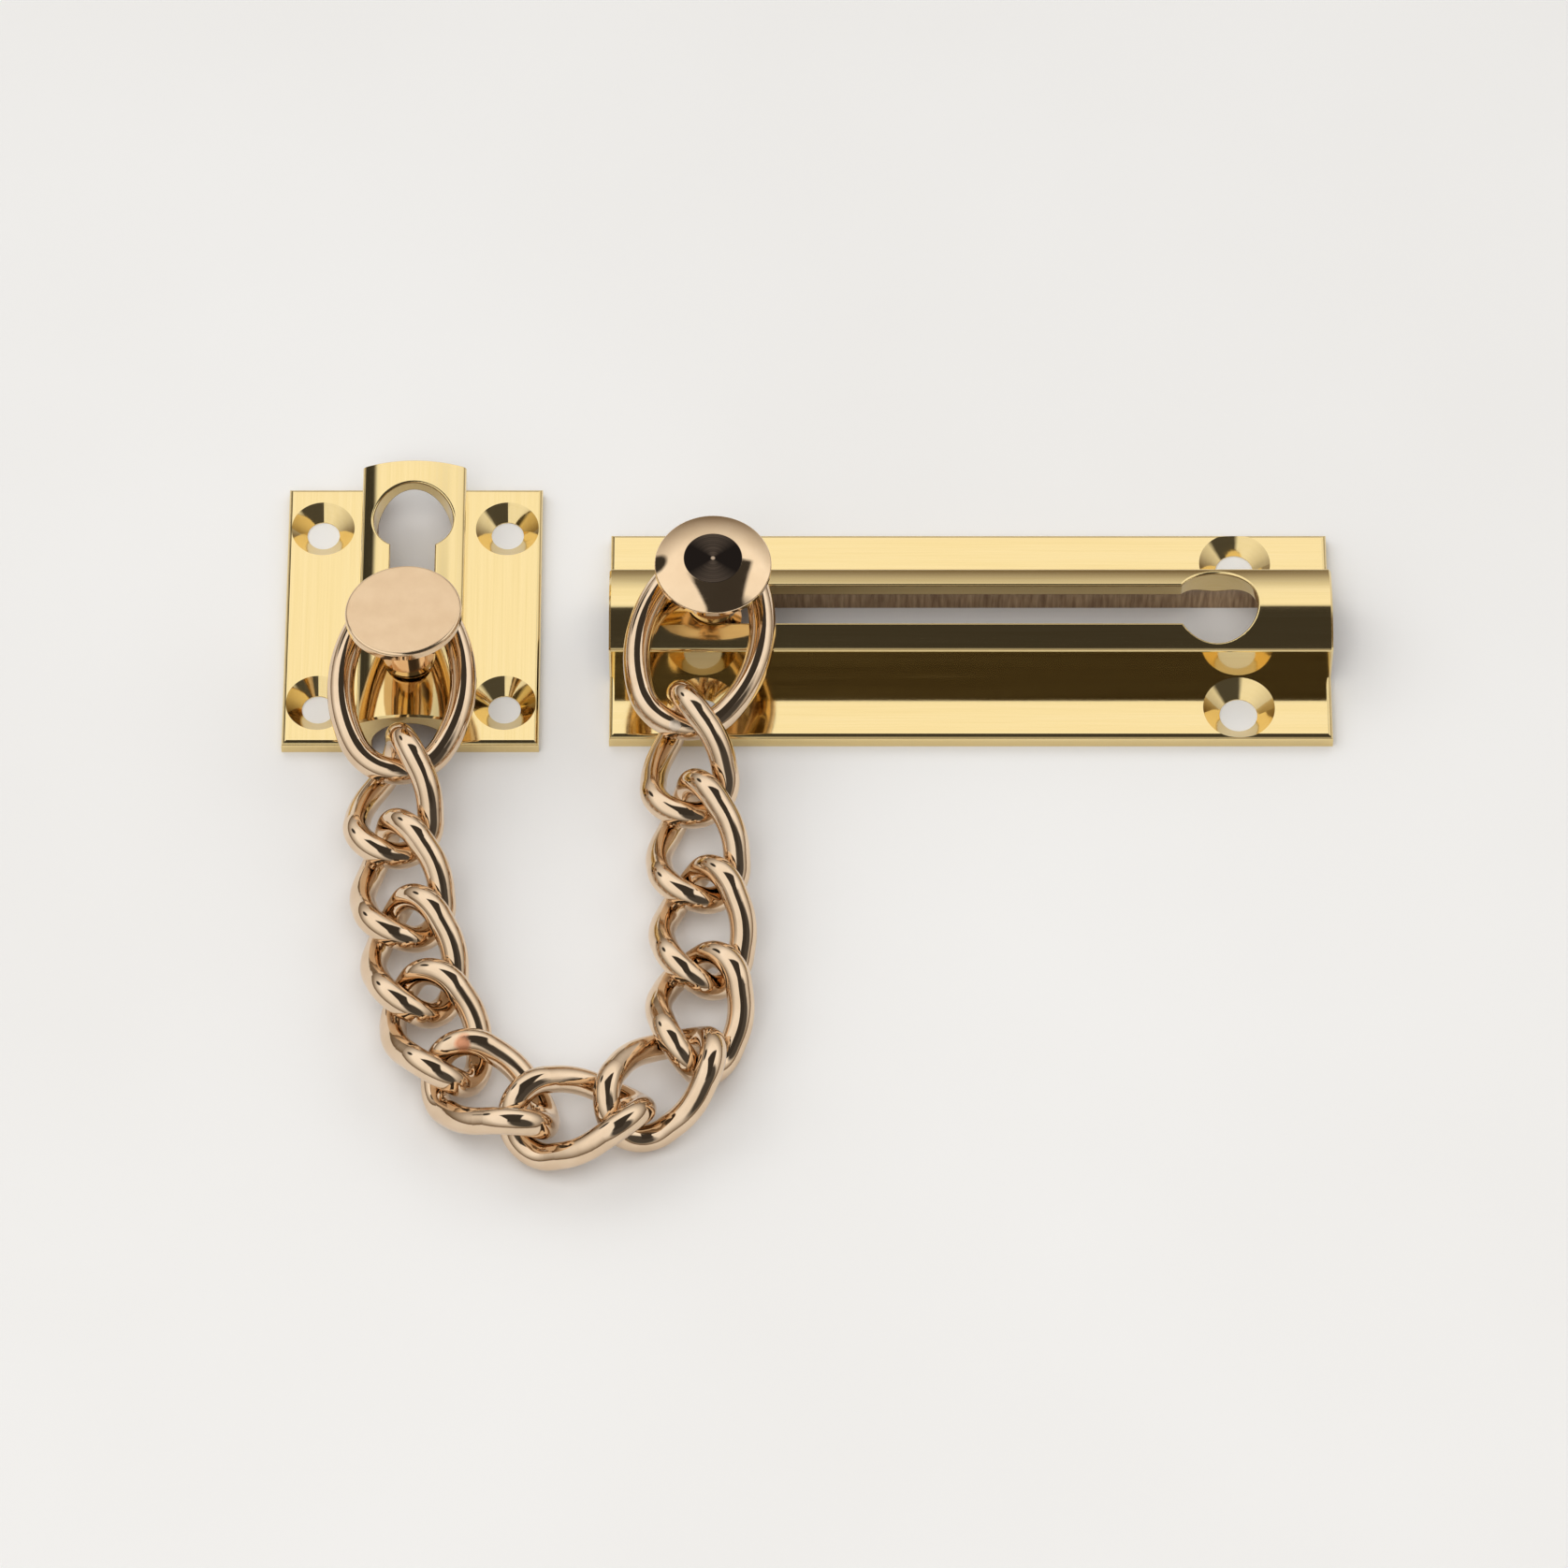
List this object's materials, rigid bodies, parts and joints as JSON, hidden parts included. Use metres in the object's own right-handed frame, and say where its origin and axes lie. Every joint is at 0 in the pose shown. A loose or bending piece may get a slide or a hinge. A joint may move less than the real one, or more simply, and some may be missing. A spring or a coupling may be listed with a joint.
{
  "type": "door chain",
  "caption": "Door security chain: a slotted slide track with a sliding knob, a twisted curb chain with end rings, and a keyhole frame plate with a second knob.",
  "frame": {"origin": "middle of the slide track's back face, which is also the middle of its screw pattern", "axes": "+X along the track from the knob to the keyhole, +Y up the door, +Z out of the door"},
  "size_m": [0.1609, 0.1232, 0.024],
  "materials": {
    "plate_brass": "polished, fine brush lines",
    "chain_bronze": "mirror polished"
  },
  "bodies": {
    "slide_track": {"slide_track": "plate_brass"},
    "slide_knob": {"slide_knob": "chain_bronze"},
    "slide_ring": {"slide_ring": "chain_bronze"},
    "link_01": {"link_01": "chain_bronze"},
    "link_02": {"link_02": "chain_bronze"},
    "link_03": {"link_03": "chain_bronze"},
    "link_04": {"link_04": "chain_bronze"},
    "link_05": {"link_05": "chain_bronze"},
    "link_06": {"link_06": "chain_bronze"},
    "link_07": {"link_07": "chain_bronze"},
    "link_08": {"link_08": "chain_bronze"},
    "link_09": {"link_09": "chain_bronze"},
    "link_10": {"link_10": "chain_bronze"},
    "link_11": {"link_11": "chain_bronze"},
    "frame_ring": {"frame_ring": "chain_bronze"},
    "frame_knob": {"frame_knob": "chain_bronze"},
    "frame_plate": {"frame_plate": "plate_brass"}
  },
  "joints": [
    {"name": "slide_run", "type": "slide", "parent": "slide_track", "child": "slide_knob", "axis": [1, 0, 0], "range_m": [0, 0.0771]},
    {"name": "slide_ring_swing", "type": "hinge", "parent": "slide_knob", "child": "slide_ring", "pos_m": [-0.0394, 0, 0.0148], "axis": [0, 0, 1], "range_deg": [-2, 12]},
    {"name": "link_01_swing", "type": "hinge", "parent": "slide_ring", "child": "link_01", "pos_m": [-0.0446, -0.01895, 0.01058], "axis": [0, 0, 1], "range_deg": [-2, 6]},
    {"name": "link_02_swing", "type": "hinge", "parent": "link_01", "child": "link_02", "pos_m": [-0.04265, -0.03312, 0.00736], "axis": [0, 0, 1], "range_deg": [0, 10]},
    {"name": "link_03_swing", "type": "hinge", "parent": "link_02", "child": "link_03", "pos_m": [-0.04103, -0.04766, 0.00643], "axis": [0, 0, 1], "range_deg": [0, 20]},
    {"name": "link_04_swing", "type": "hinge", "parent": "link_03", "child": "link_04", "pos_m": [-0.04046, -0.0623, 0.00608], "axis": [0, 0, 1], "range_deg": [0, 28]},
    {"name": "link_05_swing", "type": "hinge", "parent": "link_04", "child": "link_05", "pos_m": [-0.04108, -0.0772, 0.00668], "axis": [0, 0, 1], "range_deg": [0, 20]},
    {"name": "link_06_swing", "type": "hinge", "parent": "link_05", "child": "link_06", "pos_m": [-0.05175, -0.08789, 0.00651], "axis": [0, 0, 1], "range_deg": [0, 20]},
    {"name": "link_07_swing", "type": "hinge", "parent": "link_06", "child": "link_07", "pos_m": [-0.06682, -0.08894, 0.00633], "axis": [0, 0, 1], "range_deg": [0, 20]},
    {"name": "link_08_swing", "type": "hinge", "parent": "link_07", "child": "link_08", "pos_m": [-0.07856, -0.07993, 0.00596], "axis": [0, 0, 1], "range_deg": [0, 20]},
    {"name": "link_09_swing", "type": "hinge", "parent": "link_08", "child": "link_09", "pos_m": [-0.08342, -0.06689, 0.00612], "axis": [0, 0, 1], "range_deg": [0, 28]},
    {"name": "link_10_swing", "type": "hinge", "parent": "link_09", "child": "link_10", "pos_m": [-0.08538, -0.05387, 0.00661], "axis": [0, 0, 1], "range_deg": [0, 10]},
    {"name": "link_11_swing", "type": "hinge", "parent": "link_10", "child": "link_11", "pos_m": [-0.08804, -0.04032, 0.0074], "axis": [0, 0, 1], "range_deg": [0, 28]},
    {"name": "frame_ring_swing", "type": "hinge", "parent": "link_11", "child": "frame_ring", "pos_m": [-0.0873, -0.02615, 0.00921], "axis": [0, 0, 1], "range_deg": [0, 20]},
    {"name": "frame_knob_turn", "type": "hinge", "parent": "frame_ring", "child": "frame_knob", "pos_m": [-0.08579, -0.00925, 0.0103], "axis": [0, 0, 1], "range_deg": [-8, 2]},
    {"name": "frame_plate_turn", "type": "hinge", "parent": "frame_knob", "child": "frame_plate", "pos_m": [-0.08579, -0.00925, 0.0103], "axis": [0, 0, 1], "range_deg": [-8, 2]}
  ],
  "couplings": [
    {"joint": "link_05_swing", "follows": "slide_run", "rad_per_m": 4.3011},
    {"joint": "link_06_swing", "follows": "slide_run", "rad_per_m": 4.3011},
    {"joint": "link_07_swing", "follows": "slide_run", "rad_per_m": 4.3011},
    {"joint": "link_08_swing", "follows": "slide_run", "rad_per_m": 4.3011}
  ]
}
